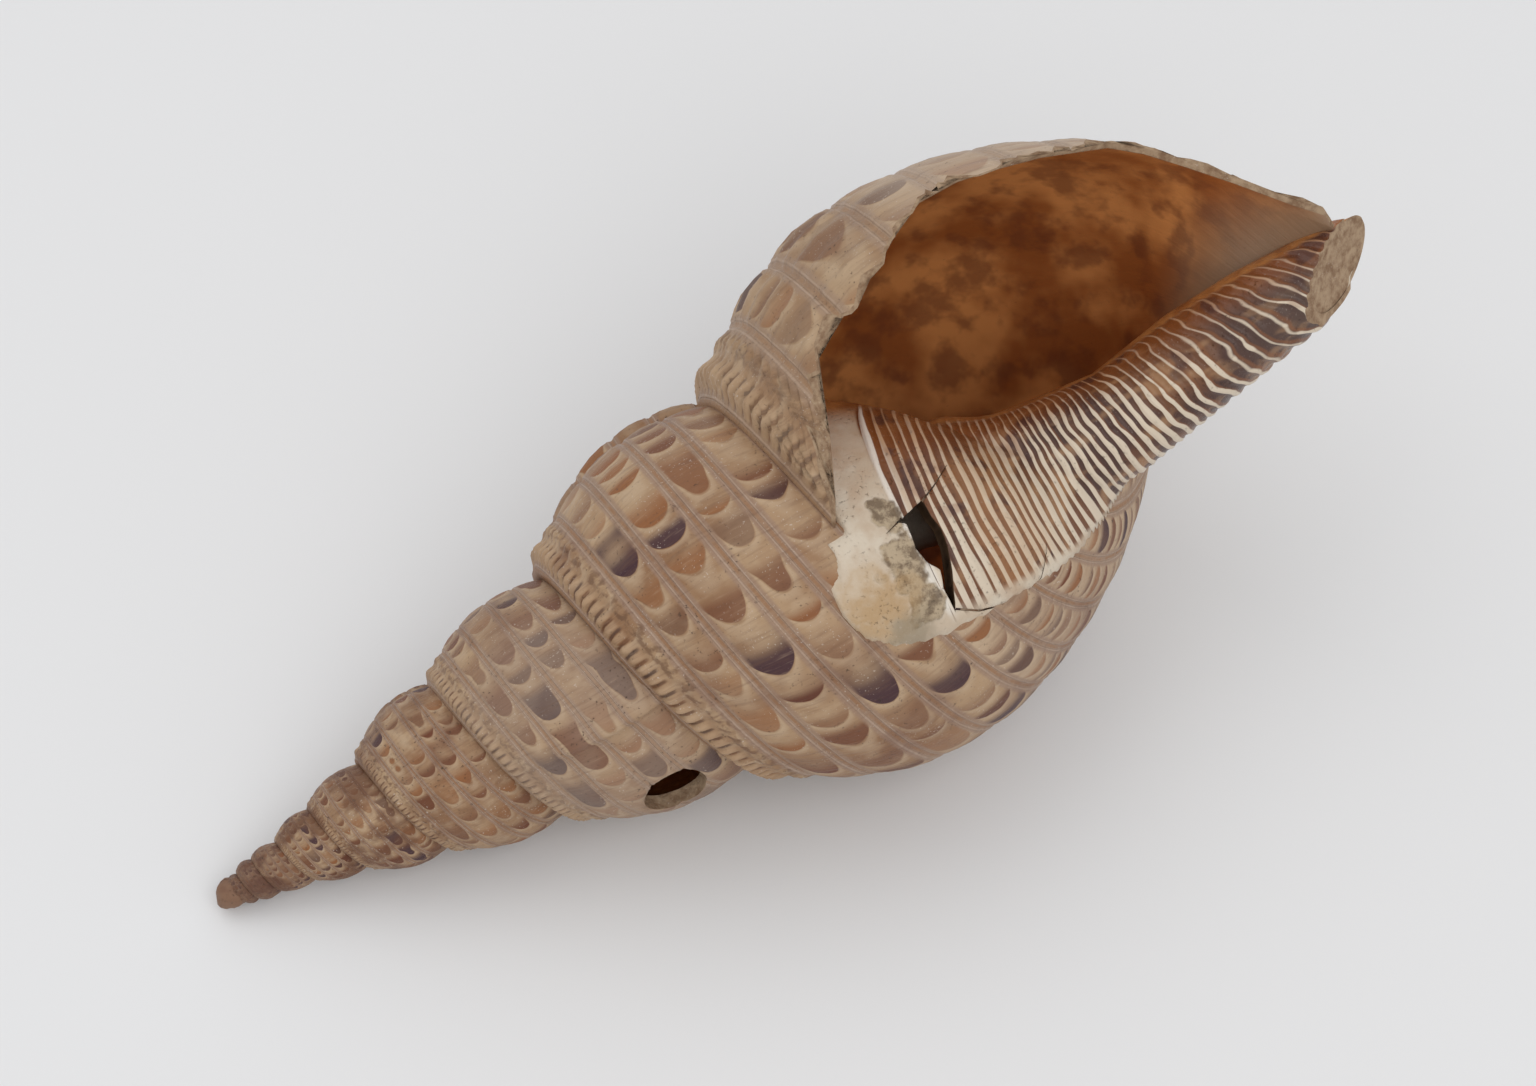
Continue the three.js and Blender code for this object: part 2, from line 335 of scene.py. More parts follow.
def ease(tree, value, low, high, to_low=0.0, to_high=1.0):
    """A soft step of a value between two limits."""
    return put(tree, "ShaderNodeMapRange", {"Value": value, 1: low, 2: high, 3: to_low, 4: to_high},
               interpolation_type="SMOOTHSTEP").outputs[0]


def tint(red, green, blue):
    """A colour as the eye reads it, 0 to 255, as the shader needs it."""
    return (*(((c / 255 + 0.055) / 1.055) ** 2.4 for c in (red, green, blue)), 1)


def lay(tree, share, under, over):
    """One colour over another by a mask or a number."""
    return put(tree, "ShaderNodeMix", {0: share, 6: under, 7: over}, data_type="RGBA").outputs[2]


def wash(tree, under, mask, strength, colour):
    """A thin wash of a colour over another where a mask is."""
    return lay(tree, product(tree, mask, strength), under, colour)


def cloud(tree, vector, scale, detail=3.0, roughness=0.55):
    """Soft noise, finer as its scale is greater."""
    return put(tree, "ShaderNodeTexNoise", {"Vector": vector, "Scale": scale, "Detail": detail,
                                            "Roughness": roughness}).outputs["Fac"]


def grain(tree, along, across, scales, detail, third=0.0, roughness=0.55):
    """Noise over two measures of a map, each with its own scale."""
    drawn = put(tree, "ShaderNodeCombineXYZ", {0: product(tree, along, scales[0]),
                                               1: product(tree, across, scales[1]), 2: third})
    return cloud(tree, drawn.outputs[0], 1.0, detail, roughness)


def read_map(tree, name):
    """The two measures that a piece's own map holds."""
    measures = put(tree, "ShaderNodeUVMap", uv_map=name).outputs[0]
    parts = put(tree, "ShaderNodeSeparateXYZ", {0: measures}).outputs
    return parts[0], parts[1]


def new_group(name, inputs, outputs):
    """A shared effect: its group, and the sockets inside it."""
    group = bpy.data.node_groups.new(name, "ShaderNodeTree")
    for label, kind in inputs:
        group.interface.new_socket(label, in_out="INPUT", socket_type="NodeSocket" + kind)
    for label, kind in outputs:
        group.interface.new_socket(label, in_out="OUTPUT", socket_type="NodeSocket" + kind)
    return group, group.nodes.new("NodeGroupInput").outputs, group.nodes.new("NodeGroupOutput").inputs


def new_material(name):
    """A finish, its node tree and its shader's inputs."""
    material = bpy.data.materials.new(name)
    material.use_nodes = True
    return material, material.node_tree, material.node_tree.nodes["Principled BSDF"].inputs


# Dirt and wear that every part of the shell has: specks in pits, and pale rubbed grains.
age, age_in, age_out = new_group("age", [("Colour", "Color"), ("Dirt", "Float"), ("Rub", "Float")],
                                 [("Colour", "Color"), ("Height", "Float")])
grime, rubbed_white = tint(70, 56, 46), tint(205, 190, 176)
place = put(age, "ShaderNodeTexCoord").outputs["Object"]
fine = cloud(age, place, 900, 4, 0.65)
patches = cloud(age, place, 70, 3)
pits = product(age, ease(age, fine, 0.40, 0.30), ease(age, patches, 0.42, 0.62))
grains = product(age, ease(age, cloud(age, place, 1400, 2), 0.64, 0.70), ease(age, patches, 0.55, 0.40))
dirty = wash(age, age_in["Colour"], pits, age_in["Dirt"], grime)
rubbed = wash(age, dirty, grains, age_in["Rub"], rubbed_white)
age.links.new(rubbed, age_out["Colour"])
age.links.new(calc(age, "SUBTRACT", product(age, fine, 0.4), pits), age_out["Height"])


def add_age(tree, skin, colour, dirt, rub):
    """Gives a finish its colour under dirt and wear, and returns their height."""
    aged = put(tree, "ShaderNodeGroup", {"Colour": colour, "Dirt": dirt, "Rub": rub}, node_tree=age)
    tree.links.new(aged.outputs["Colour"], skin["Base Color"])
    return aged.outputs["Height"]


def add_relief(tree, skin, height, strength, depth):
    """Gives a finish its fine relief, with the depth in metres."""
    bump = put(tree, "ShaderNodeBump", {"Strength": strength, "Distance": depth, "Height": height})
    tree.links.new(bump.outputs[0], skin["Normal"])


# Outside of the shell: cream rows with brown and purple crescents, parted by brown lines between
# two pale riblets, and beads under the suture with dark gaps.
outside, tree, skin = new_material("shell_outside")
warm_cream, dull_cream = tint(176, 146, 114), tint(142, 106, 76)
smeared_cream, pale_cream = tint(188, 162, 132), tint(196, 174, 150)
painted_highlight_cream, slope_brown = tint(196, 172, 144), tint(152, 125, 107)
line_brown, riblet_cream, chestnut = tint(150, 108, 72), tint(188, 164, 146), tint(140, 88, 50)
rust, dark_red_brown, dark_purple = tint(104, 53, 30), tint(74, 36, 32), tint(70, 46, 52)
gap_brown, gap_purple, bead_cream = tint(113, 74, 50), tint(78, 57, 53), tint(182, 151, 120)
scale_brown, worn_cream, stain_brown = tint(104, 73, 53), tint(176, 157, 138), tint(112, 76, 60)
new_cream, lip_cream, old_brown = tint(180, 154, 122), tint(200, 180, 160), tint(104, 66, 45)
point_brown, growth_shade = tint(110, 78, 66), tint(110, 80, 60)
growth_shine, mouth_brown = tint(190, 161, 134), tint(102, 54, 26)
turn_at, share_at = read_map(tree, "growth")
object_place = put(tree, "ShaderNodeTexCoord").outputs["Object"]
broad = cloud(tree, object_place, 26, 3)
growth_lines = grain(tree, turn_at, share_at, (260.0, 9.0), 4, roughness=0.6)
smear = grain(tree, turn_at, share_at, (60.0, 16.0), 3, third=3.0)

# The grooves part the whorl into rows. Across is 0 in the middle of a row and 1 at its grooves.
row_curve = put(tree, "ShaderNodeFloatCurve", {"Value": share_at})
row_points = row_curve.mapping.curves[0].points
for number, groove in enumerate(cord_grooves):
    row_points.new(groove, (number + 1) / row_count)
for point_on in row_points:
    point_on.handle_type = "VECTOR"
row_curve.mapping.update()
row_place = product(tree, row_curve.outputs[0], float(row_count))
row = calc(tree, "FLOOR", row_place)
across = calc(tree, "ABSOLUTE", calc(tree, "MULTIPLY_ADD", calc(tree, "FRACT", row_place), 2.0, -1.0))
first_row = ease(tree, row, 0.6, 0.4)
crowded = ease(tree, row, 4.2, 4.8)

# Each row is a run of cells, and a cell has one crescent whose bowed edge faces the lip.
crescent_reach, crescent_bow = 0.80, 0.80  # share of a row, share of a cell
older_from, older_count = -1.2, 20  # the older whorls have fewer to a turn
per_turn = calc(tree, "MULTIPLY_ADD", crowded, float(crowded_extra), float(crescent_count))
newer = product(tree, calc(tree, "MAXIMUM", turn_at, older_from), per_turn)
older = calc(tree, "MINIMUM", calc(tree, "ADD", turn_at, -older_from), 0.0)
older = product(tree, older, float(older_count))
wander = grain(tree, turn_at, row, (11.0, 3.3), 2)
offset = calc(tree, "ADD", product(tree, wander, 3.2), product(tree, row, 0.37))
round_off = calc(tree, "POWER", calc(tree, "DIVIDE", across, crescent_reach), 2.0)
round_off = calc(tree, "SQRT", calc(tree, "MAXIMUM", opposite(tree, round_off), 0.0))
bowed = product(tree, opposite(tree, round_off), crescent_bow)
cell_place = calc(tree, "ADD", calc(tree, "ADD", calc(tree, "ADD", newer, older), offset), bowed)
cell = calc(tree, "FLOOR", cell_place)
behind_edge = calc(tree, "FRACT", cell_place)
luck_place = put(tree, "ShaderNodeCombineXYZ", {0: cell, 1: row, 2: 0.0}).outputs[0]
luck = put(tree, "ShaderNodeTexWhiteNoise", {"Vector": luck_place}, noise_dimensions="3D")
hue_luck, strength_luck, tail_luck = put(
    tree, "ShaderNodeSeparateColor", {0: luck.outputs["Color"]}).outputs[0:3]
behind_middle = calc(tree, "SUBTRACT", behind_edge, product(tree, bowed, 0.80))
tail_from = calc(tree, "MULTIPLY_ADD", tail_luck, 0.40, 0.05)
tail = ease(tree, behind_middle, tail_from, calc(tree, "ADD", tail_from, 0.48))
front = product(tree, tail, ease(tree, behind_edge, 0.998, 0.955))
in_row = ease(tree, across, 0.80, 0.62)
crescent = product(tree, front, in_row, opposite(tree, first_row))
# A band just past each crescent's front edge carries a painted highlight.
highlight_past_front = product(tree, ease(tree, behind_edge, 0.0, 0.04), in_row,
                     ease(tree, behind_edge, 0.34, 0.05))

# The ground of the rows with a painted highlight just past each crescent's front edge, the brown line
# in each groove and the pale riblets beside it.
cream = lay(tree, ease(tree, broad, 0.35, 0.65), warm_cream, dull_cream)
cream = wash(tree, cream, ease(tree, smear, 0.45, 0.75), 0.5, smeared_cream)
cream = wash(tree, cream, crowded, 0.40, pale_cream)
# Painted highlight: a pale band just past each crescent's front edge.
cream = wash(tree, cream, highlight_past_front, 0.40, painted_highlight_cream)
base = wash(tree, cream, ease(tree, across, 0.62, 0.76), 0.70, slope_brown)
line = ease(tree, across, 0.925, 0.95)
line_wear = product(tree, ease(tree, smear, 0.25, 0.55), 0.65)
base = wash(tree, base, line, line_wear, line_brown)
riblet = product(tree, ease(tree, across, 0.80, 0.84), ease(tree, across, 0.91, 0.87))
riblet_wear = ease(tree, grain(tree, turn_at, row, (24.0, 1.0), 2, third=8.0), 0.30, 0.62, 0.1, 0.55)
base = wash(tree, base, riblet, riblet_wear, riblet_cream)

# The crescents, from chestnut to dark red-brown, and a purple blot in some cells.
hue = lay(tree, ease(tree, hue_luck, 0.30, 0.42), chestnut, rust)
hue = lay(tree, ease(tree, hue_luck, 0.70, 0.78), hue, dark_red_brown)
strength = calc(tree, "MULTIPLY_ADD", strength_luck, 0.58, 0.42)
marked = wash(tree, base, crescent, strength, hue)
dark_luck = product(tree, ease(tree, hue_luck, 0.79, 0.83), ease(tree, tail_luck, 0.2, 0.4))
blot = product(tree, ease(tree, behind_middle, 0.10, 0.50), ease(tree, behind_edge, 0.995, 0.96),
               ease(tree, across, 0.84, 0.62), dark_luck, opposite(tree, first_row))
marked = wash(tree, marked, blot, 0.88, dark_purple)

# The beads under the suture keep step with those of the mesh. A scaly row lies below them.
bead_lean = product(tree, share_at, bead_slant / (2 * math.pi))
bead_sway = product(tree, calc(tree, "SINE", product(tree, turn_at, 5.0)), 1 / math.pi)
bead_turns = calc(tree, "ADD", product(tree, turn_at, float(bead_count)),
                  calc(tree, "ADD", bead_lean, bead_sway))
bead_top = calc(tree, "COSINE", product(tree, bead_turns, 2 * math.pi))
bead_band = product(tree, ease(tree, share_at, 0.008, 0.022), ease(tree, share_at, 0.066, 0.054))
bead_gap = product(tree, bead_band, ease(tree, bead_top, -0.45, -0.92))
bead_luck = grain(tree, turn_at, share_at, (50.0, 0.0), 2, third=5.0)
gap_hue = lay(tree, ease(tree, bead_luck, 0.42, 0.58), gap_brown, gap_purple)
marked = wash(tree, marked, bead_gap, 0.75, gap_hue)
bead_crown = product(tree, bead_band, ease(tree, bead_top, -0.6, 0.2))
marked = wash(tree, marked, bead_crown, 0.6, bead_cream)
second_band = product(tree, ease(tree, share_at, 0.066, 0.074), ease(tree, share_at, 0.108, 0.098))
scaly = ease(tree, grain(tree, turn_at, share_at, (110.0, 45.0), 2), 0.46, 0.62)
marked = wash(tree, marked, product(tree, second_band, scaly), 0.6, scale_brown)

# Wear, stains and fresh growth over all of it.
second_whorl = product(tree, ease(tree, turn_at, -1.05, -1.3), ease(tree, turn_at, -2.1, -1.8))
marked = wash(tree, marked, second_whorl, ease(tree, broad, 0.35, 0.6, 0.05, 0.36), worn_cream)
brown_cloud = ease(tree, cloud(tree, object_place, 44, 3), 0.54, 0.70)
marked = wash(tree, marked, brown_cloud, 0.32, stain_brown)
new_growth = ease(tree, turn_at, -0.05, 0.08)
marked = wash(tree, marked, new_growth, 0.22, new_cream)
pale_lip = product(tree, ease(tree, turn_at, -0.09, -0.02), ease(tree, share_at, 0.30, 0.42))
marked = wash(tree, marked, pale_lip, 0.35, lip_cream)
old = ease(tree, turn_at, -1.6, -4.2)
blotch = ease(tree, cloud(tree, object_place, 95, 3), 0.46, 0.60)
marked = wash(tree, marked, old, product(tree, blotch, 0.75), old_brown)
marked = wash(tree, marked, ease(tree, turn_at, -5.0, -6.4), 0.6, point_brown)
marked = wash(tree, marked, ease(tree, growth_lines, 0.52, 0.30), 0.30, growth_shade)
marked = wash(tree, marked, ease(tree, growth_lines, 0.56, 0.75), 0.22, growth_shine)
in_mouth = product(tree, ease(tree, turn_at, -0.755, -0.765), ease(tree, share_at, 0.560, 0.575))
marked = lay(tree, in_mouth, marked, mouth_brown)

aged_height = add_age(tree, skin, marked, 0.75, 0.55)
tree.links.new(ease(tree, growth_lines, 0.3, 0.7, 0.40, 0.56), skin["Roughness"])
skin["Specular IOR Level"].default_value = 0.22
fine_height = calc(tree, "ADD", product(tree, riblet, 0.6), product(tree, aged_height, 0.5))
fine_height = calc(tree, "MULTIPLY_ADD", growth_lines, 0.9, fine_height)
fine_height = calc(tree, "ADD", fine_height, product(tree, crescent, 0.25))
add_relief(tree, skin, fine_height, 0.6, 0.0006)

# Inside of the shell: a satin orange-brown lining with soft dark clouds, greyer towards the canal.
inside, tree, skin = new_material("shell_inside")
lining_brown, lining_orange = tint(157, 90, 44), tint(214, 143, 82)
lining_dark, lip_orange, canal_grey = tint(112, 60, 38), tint(190, 112, 58), tint(142, 116, 92)
turn_at, share_at = read_map(tree, "growth")
object_place = put(tree, "ShaderNodeTexCoord").outputs["Object"]
clouds = cloud(tree, object_place, 42, 3, 0.5)
small_clouds = cloud(tree, object_place, 90, 3)
lining = lay(tree, ease(tree, clouds, 0.36, 0.62), lining_brown, lining_orange)
lining = wash(tree, lining, ease(tree, small_clouds, 0.54, 0.34), 0.6, lining_dark)
lining = wash(tree, lining, ease(tree, turn_at, -0.06, 0.10), 0.25, lip_orange)
lining = wash(tree, lining, ease(tree, share_at, 0.85, 1.0), 0.95, canal_grey)
add_age(tree, skin, lining, 0.2, 0.0)
skin["Roughness"].default_value = 0.38
skin["Specular IOR Level"].default_value = 0.30
add_relief(tree, skin, grain(tree, turn_at, share_at, (120.0, 6.0), 3), 0.35, 0.0006)

# Broken shell: chalky cream layers with grey dirt, where the lip, the blow hole and the canal end.
broken, tree, skin = new_material("broken_shell")
layer_brown, layer_cream = tint(130, 102, 78), tint(170, 145, 118)
object_place = put(tree, "ShaderNodeTexCoord").outputs["Object"]
layers = cloud(tree, object_place, 320, 4, 0.6)
chalk = lay(tree, ease(tree, layers, 0.30, 0.66), layer_brown, layer_cream)
add_age(tree, skin, chalk, 0.35, 0.4)
skin["Roughness"].default_value = 0.85
skin["Specular IOR Level"].default_value = 0.20
add_relief(tree, skin, layers, 0.8, 0.0008)

for material in (outside, inside, broken):
    wall_mesh.materials.append(material)
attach(shell_wall, "root")
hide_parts("shell")

# Inner lip: a glaze laid over the whorl before and round the pillar, with raised white wrinkles
# and dark hollows between them. It is part of the same shell, and ends in the canal.
pillar_rings = np.array([
    (228, 5, 9), (238, 5, 12), (252, 7, 16), (268, 8.5, 16.5), (294, 9.5, 14.5), (320, 5, 14.2),
    (342, 2.5, 12.8), (356, 1.6, 11.4), (368, 0.6, 10.6), (382, 0.2, 8.6)])  # height, lean, radius


def pillar_out(turn, height):
    """Distance of the pillar's skin from the axis."""
    lean = np.interp(height, pillar_rings[:, 0], pillar_rings[:, 1])
    radius = np.interp(height, pillar_rings[:, 0], pillar_rings[:, 2])
    toward = -lean * np.cos(turn * 2 * math.pi)
    return toward + np.sqrt(np.square(radius) - np.square(lean) + np.square(toward))


def before_out(turn, height):
    """Distance of the skin of the whorl before from the axis, and its share of the outline."""
    scale = growth_per_turn ** turn
    share = np.interp(height / scale, outline[:, 0], outline_share)
    out = np.interp(height / scale, outline[:, 0], outline[:, 1])
    out = scale * out * (1 + whorl_swell(turn, share)) - 0.6 * np.maximum(0, height - 356 * scale)
    return out, share


# The glaze's margins on the whorl before: share of the outline, turn.
shield_edge = np.array([
    (0.00, -0.80), (0.405, -0.80), (0.413, -0.698), (0.42, -0.676), (0.448, -0.658), (0.485, -0.648),
    (0.55, -0.639), (0.613, -0.628), (0.713, -0.602), (0.823, -0.560), (0.91, -0.480), (1.0, -0.400)])
shield_start = np.array([
    (0.413, -0.700), (0.432, -0.726), (0.455, -0.730), (0.48, -0.744), (0.50, -1.2)])
first_level, last_level, level_step = 195, 392, 0.1  # heights along the pillar
wrinkle_spacing = np.array([
    (195, 4.0), (228, 3.3), (238, 2.9), (250, 2.45), (262, 2.15), (285, 2.4), (300, 3.0), (318, 4.2),
    (335, 5.3), (380, 5.7)])  # level, millimetres from wrinkle to wrinkle
wrinkle_level, wrinkle_first, sheet_end = 261, 229.5, 381  # where wrinkles fan from, start, and end
wrinkles_to_map, map_length = 10, 183  # how wrinkles and levels are scaled in the maps
fan_spread, canal_margin = 0.69, -0.385
fillet_low, fillet_more = 7, 13  # how softly the whorl before meets the pillar
wrinkle_steepness, first_wrinkle_more = 0.21, 0.9
crest_bulge, crest_height, crest_width = 5.5, 248, 11
margin_sunk, sheet_sunk, sheet_thinnest = 1.8, 3.2, 0.6  # millimetres under the wall's skin

# The sheet's levels follow the wrinkles, so that each wrinkle has as many of them.
levels = np.linspace(first_level, last_level, round((last_level - first_level) / level_step) + 1)
level_counts = np.append(0, np.cumsum(level_step / np.interp(levels[1:], *wrinkle_spacing.T)))
sheet_levels = 334
sheet_turns = np.concatenate([np.linspace(-1.14, -0.88, 17)[:-1], np.linspace(-0.88, -0.36, 86)])
level_steps = np.interp(np.linspace(0, level_counts[-1], sheet_levels + 1), level_counts, levels)
round_turns = np.concatenate([sheet_turns, sheet_turns[::-1], sheet_turns[:1]])  # over, back under
lip_bm = bmesh.new()
wrinkle_layer = lip_bm.loops.layers.uv.new("wrinkle")
finish_layer = lip_bm.loops.layers.uv.new("finish")
bmesh.ops.create_grid(lip_bm, x_segments=len(round_turns) - 1, y_segments=sheet_levels, size=1)
across = np.array([round((v.co.x + 1) / 2 * (len(round_turns) - 1)) for v in lip_bm.verts])
along = np.array([round((v.co.y + 1) / 2 * sheet_levels) for v in lip_bm.verts])
turn = round_turns[across]
underneath = (across >= len(sheet_turns)) & (across < len(round_turns) - 1)
level = level_steps[along]
# The wrinkles fan out over the whorl before from one level on the pillar, and waver a little.
fan = np.exp(-fan_spread * (turn + 0.75))
level = np.minimum(level, wrinkle_level + (sheet_end - wrinkle_level) * fan)
height = wrinkle_level + (level - wrinkle_level) / fan
waver = np.array([
    noise.noise(Vector((t * 9, z / 9, 2.2))) + 0.5 * noise.noise(Vector((t * 22, z / 5, 6)))
    for t, z in zip(turn, level)])
count = np.interp(level, levels, level_counts) + 0.42 * waver
# The glaze lies on the whorl before and on the pillar, and rounds the corner between them.
whorl_out, whorl_share = before_out(turn, height)
post_out = pillar_out(turn, height)
fillet = fillet_low + fillet_more * smooth_step(turn, -0.62, -0.82)
apart = np.clip(0.5 + 0.5 * (whorl_out - post_out) / fillet, 0, 1)
base_out = post_out + (whorl_out - post_out) * apart + 0.9 * fillet * apart * (1 - apart)
crest_shape = np.exp(-np.square((height - crest_height) / crest_width))
base_out = base_out + crest_bulge * crest_shape * smooth_step(turn, -0.74, -0.86)
# It stands on the wall between its margins, and dips into the wall beyond them.
edge_turn = np.interp(whorl_share, shield_edge[:, 0], shield_edge[:, 1])
edge_turn = np.where(height > 300, canal_margin, edge_turn)
edge_turn = edge_turn + 0.004 * waver
laid_on = smooth_step(edge_turn - turn, 0.0, 0.010) * smooth_step(turn, -1.13, -1.08)
laid_on = laid_on * smooth_step(level, 196, 198)
newest_suture = outline_knots[0, 0] * growth_per_turn ** (turn + 1)
laid_on = laid_on * np.where(turn < -0.753, smooth_step(height - newest_suture, 0.5, 2.5), 1)
start_turn = np.interp(whorl_share, shield_start[:, 0], shield_start[:, 1])
laid_on = laid_on * smooth_step(turn - start_turn, -0.004, 0.004)
# The wrinkles rise from it, and the first one beside the callus is the highest.
fade_low = smooth_step(edge_turn - turn, 0.004, 0.05)
fade_high = smooth_step(turn, -0.93, -0.83)
ripple = fade_low * fade_high * smooth_step(level, wrinkle_first - 2.0, wrinkle_first + 0.6)
spacing = np.interp(level, *wrinkle_spacing.T)
first_count = np.interp(wrinkle_first, levels, level_counts)
crest = 0.5 + 0.5 * np.cos(2 * math.pi * (count - first_count))
wrinkle_height = wrinkle_steepness * spacing * (crest ** 1.3) * ripple
at_first = np.exp(-np.square((count - first_count) / 0.4))
wrinkle_height = wrinkle_height * (1 + first_wrinkle_more * at_first)
# Over is the glaze's face, and under is the back of the sheet, hidden in the wall.
over = -margin_sunk + 2.7 * laid_on + wrinkle_height * laid_on
under = -sheet_sunk + 2.4 * smooth_step(height, 325, 345)
under = np.minimum(under, over - sheet_thinnest)
lift = np.where(underneath, under, over)
lift = np.where(along == 0, -2.4, np.where(along == sheet_levels, over - 0.3, lift))
angle = turn * 2 * math.pi
places = laid((base_out + lift) * np.cos(angle), (base_out + lift) * np.sin(angle), height)
for vert, place in zip(lip_bm.verts, places):
    vert.co = place
for face in lip_bm.faces:
    face.smooth = True
    for loop in face.loops:
        index = loop.vert.index
        loop[wrinkle_layer].uv = (turn[index], (count[index] - first_count) / wrinkles_to_map)
        loop[finish_layer].uv = (ripple[index], (level[index] - first_level) / map_length)
bmesh.ops.remove_doubles(lip_bm, verts=lip_bm.verts, dist=1e-6)
face_outward(lip_bm)
lip_mesh = bpy.data.meshes.new("inner_lip")
lip_bm.to_mesh(lip_mesh)
lip_bm.free()
inner_lip = bpy.data.objects.new("inner_lip", lip_mesh)
bpy.context.scene.collection.objects.link(inner_lip)

def near(tree, place, centre, radius, rough, solid=0.85):
    """A ragged round patch about a point given in millimetres."""
    centre_place = [c / 1000 for c in centre]
    far = put(tree, "ShaderNodeVectorMath", {0: place, 1: centre_place}, operation="DISTANCE")
    ragged = calc(tree, "MULTIPLY_ADD", calc(tree, "SUBTRACT", rough, 0.5), 2.4 * radius / 1000,
                  far.outputs["Value"])
    return ease(tree, ragged, 1.10 * radius / 1000, solid * radius / 1000)


# The glaze's finish: cream callus, white wrinkles, purple-brown hollows with an orange-brown line
# beside each wrinkle, and a chalky, rubbed patch round the broken hole.
glaze, tree, skin = new_material("wrinkled_glaze")
clear_cream, shaded_cream = tint(208, 194, 174), tint(196, 177, 154)
deep_orange, soft_orange = tint(150, 92, 48), tint(176, 118, 66)
callus_brown, hollow_purple = tint(172, 134, 100), tint(78, 52, 44)
hollow_brown, hollow_faded = tint(112, 72, 46), tint(180, 138, 98)
hollow_grey, crest_orange, edge_orange = tint(94, 76, 66), tint(128, 72, 34), tint(134, 84, 50)
middle_orange, patch_purple = tint(166, 116, 74), tint(72, 46, 42)
ridge_white, ridge_worn = tint(212, 196, 174), tint(196, 166, 134)
first_white, patch_brown = tint(230, 222, 210), tint(150, 100, 66)
chalk_grey_and_pit_shade, chalk_cream = tint(110, 90, 68), tint(178, 158, 130)
yellow_stain, grey_stain = tint(176, 142, 98), tint(138, 122, 98)
turn_at, count_at = read_map(tree, "wrinkle")
count_at = product(tree, count_at, float(wrinkles_to_map))
ripple_at, level_at = read_map(tree, "finish")
object_place = put(tree, "ShaderNodeTexCoord").outputs["Object"]
mottle = cloud(tree, object_place, 120, 3)
large_mottle = cloud(tree, object_place, 48, 2)
small_mottle = cloud(tree, object_place, 75, 2)

# White is where a wrinkle's top stands above a limit that wanders from wrinkle to wrinkle.
wave = product(tree, count_at, 2 * math.pi)
top = calc(tree, "COSINE", wave)
side = calc(tree, "SINE", wave)
white_from = calc(tree, "ADD", ease(tree, turn_at, -0.86, -0.62, 0.66, -0.40),
                  ease(tree, level_at, 0.52, 0.80, 0.0, 0.85))
uneven = grain(tree, turn_at, level_at, (14.0, 22.0), 2)
white_from = calc(tree, "ADD", white_from, calc(tree, "MULTIPLY_ADD", uneven, 2.6, -1.35))
nearest = calc(tree, "ROUND", count_at)
which = put(tree, "ShaderNodeTexWhiteNoise", {"W": nearest}, noise_dimensions="1D")
white_from = calc(tree, "ADD", white_from,
                  calc(tree, "MULTIPLY_ADD", which.outputs["Value"], 0.8, -0.4))
white_from = calc(tree, "ADD", white_from, ease(tree, level_at, 0.38, 0.48, 0.0, 0.45))
first_ridge = ease(tree, calc(tree, "ABSOLUTE", count_at), 1.0, 0.4)
white_from = calc(tree, "SUBTRACT", white_from, product(tree, first_ridge, 0.5))
white_from = calc(tree, "MINIMUM", white_from, 0.80)
white = ease(tree, calc(tree, "SUBTRACT", top, white_from), -0.10, 0.30)

# The callus is plain cream, and turns orange-brown where it goes in over the crest of the mouth.
cream = lay(tree, ease(tree, mottle, 0.38, 0.62), clear_cream, shaded_cream)
orange = lay(tree, ease(tree, mottle, 0.4, 0.6), deep_orange, soft_orange)
callus = wash(tree, cream, ease(tree, large_mottle, 0.56, 0.66), 0.35, callus_brown)
callus = lay(tree, ease(tree, turn_at, -0.84, -0.90), callus, orange)

# The hollows, and the ridges between them, are paler in the middle and mottled near the crest.
dark_patch = product(tree, ease(tree, small_mottle, 0.58, 0.66), ease(tree, turn_at, -0.62, -0.72))
middle = product(tree, ease(tree, level_at, 0.25, 0.29), ease(tree, level_at, 0.39, 0.34),
                 ease(tree, turn_at, -0.80, -0.75), ease(tree, mottle, 0.34, 0.48))
faded = ease(tree, grain(tree, turn_at, level_at, (16.0, 9.0), 2, third=7.0), 0.50, 0.64)
edge_line = product(tree, ease(tree, side, 0.35, 0.95), ease(tree, top, -0.6, 0.2))
hollow = lay(tree, ease(tree, large_mottle, 0.42, 0.60), hollow_purple, hollow_brown)
hollow = wash(tree, hollow, faded, 0.55, hollow_faded)
hollow = wash(tree, hollow, ease(tree, level_at, 0.60, 0.95), 0.7, hollow_grey)
hollow = wash(tree, hollow, ease(tree, turn_at, -0.72, -0.85), 0.85, crest_orange)
hollow = wash(tree, hollow, edge_line, 0.6, edge_orange)
hollow = wash(tree, hollow, middle, 0.55, middle_orange)
hollow = wash(tree, hollow, dark_patch, 0.7, patch_purple)
lower = ease(tree, turn_at, -0.84, -0.70)
ridge = lay(tree, lower, lay(tree, 0.6, cream, orange), ridge_white)
ridge = wash(tree, ridge, middle, 0.6, ridge_worn)
ridge = wash(tree, ridge, first_ridge, 0.8, first_white)
ridge = wash(tree, ridge, dark_patch, 0.45, patch_brown)
striped = lay(tree, white, hollow, ridge)
ragged_ripple = calc(tree, "ADD", ripple_at, product(tree, calc(tree, "SUBTRACT", mottle, 0.5), 0.5))
surface = lay(tree, ease(tree, ragged_ripple, 0.15, 0.6), callus, striped)
